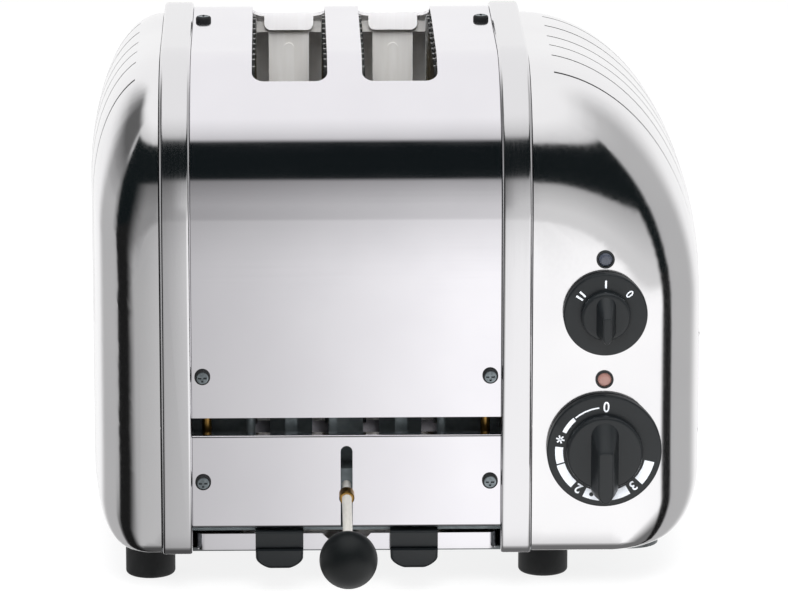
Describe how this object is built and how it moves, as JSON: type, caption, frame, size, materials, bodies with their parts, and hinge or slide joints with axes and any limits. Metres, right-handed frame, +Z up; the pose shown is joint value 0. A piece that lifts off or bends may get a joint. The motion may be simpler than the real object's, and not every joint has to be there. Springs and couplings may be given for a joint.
{
  "type": "two-slice toaster",
  "caption": "Front-lever toaster: folded steel body with two bread slots between fluted cast ends, with dial knobs, lift lever, crumb tray and rubber feet.",
  "frame": {"origin": "middle of the whole footprint, on the surface that the feet stand on", "axes": "+X to the right end with the dials, +Y to the back, +Z up; the lever is at the front"},
  "size_m": [0.2622, 0.2858, 0.2232],
  "materials": {
    "stainless_sheet": "satin polished",
    "polished_casting": "polished",
    "band_aluminium": "bright satin",
    "zinc_plate": "zinc plated",
    "slot_plate_steel": "aluminised",
    "plated_steel": "nickel plated",
    "brass": "turned",
    "black_phenolic": "polished",
    "black_moulding": "fine matt",
    "black_rubber": "matt",
    "blue_lens": "clear gloss",
    "amber_lens": "clear gloss",
    "white_ceramic": "unglazed",
    "mica": "pressed mica board",
    "heater_alloy": "oxidised"
  },
  "bodies": {
    "chassis": {"base_plate": "zinc_plate", "body_wrap": "stainless_sheet", "lower_front_panel": "stainless_sheet", "left_end_casting": "polished_casting", "right_end_casting": "polished_casting", "left_trim_band": "band_aluminium", "right_trim_band": "band_aluminium", "left_chassis_wall": "zinc_plate", "right_chassis_wall": "zinc_plate", "front_slot_plate": "slot_plate_steel", "rear_slot_plate": "slot_plate_steel", "guide_rods": "plated_steel", "brass_posts": "brass", "panel_screws": "plated_steel", "service_cover": "stainless_sheet", "service_cover_screw": "plated_steel", "selector_switch": "black_moulding", "timer_movement": "zinc_plate", "upper_lamp_lens": "blue_lens", "lower_lamp_lens": "amber_lens", "upper_lamp_bezel": "black_moulding", "lower_lamp_bezel": "black_moulding", "terminal_block": "white_ceramic", "cord_gland": "black_moulding", "front_left_foot": "black_rubber", "front_right_foot": "black_rubber", "rear_left_foot": "black_rubber", "rear_right_foot": "black_rubber", "left_element_board": "mica", "centre_element_board": "mica", "right_element_board": "mica", "left_heater_ribbon": "heater_alloy", "centre_heater_ribbons": "heater_alloy", "right_heater_ribbon": "heater_alloy", "left_slot_outer_guard": "plated_steel", "left_slot_inner_guard": "plated_steel", "right_slot_outer_guard": "plated_steel", "right_slot_inner_guard": "plated_steel"},
    "lift": {"lift_carriage": "plated_steel", "left_bread_rack": "plated_steel", "right_bread_rack": "plated_steel", "left_lift_bush": "brass", "right_lift_bush": "brass", "lever_rod": "plated_steel", "lever_nut": "brass", "lever_knob": "black_phenolic"},
    "crumb_tray_body": {"crumb_tray": "stainless_sheet", "left_tray_grip": "black_moulding", "right_tray_grip": "black_moulding"},
    "selector": {"selector_knob": "black_moulding", "selector_shaft": "plated_steel"},
    "timer": {"timer_knob": "black_moulding", "timer_shaft": "plated_steel"}
  },
  "joints": [
    {"name": "rack_lift", "type": "slide", "parent": "chassis", "child": "lift", "axis": [0, 0, 1], "range_m": [0, 0.0175]},
    {"name": "crumb_tray_slide", "type": "slide", "parent": "chassis", "child": "crumb_tray_body", "axis": [0, -1, 0], "range_m": [0, 0.17]},
    {"name": "selector_turn", "type": "hinge", "parent": "chassis", "child": "selector", "pos_m": [0.0855, -0.07005, 0.1212], "axis": [0, 1, 0], "range_deg": [-50, 50]},
    {"name": "timer_turn", "type": "hinge", "parent": "chassis", "child": "timer", "pos_m": [0.0855, -0.07005, 0.0626], "axis": [0, 1, 0], "range_deg": [0, 250]}
  ]
}
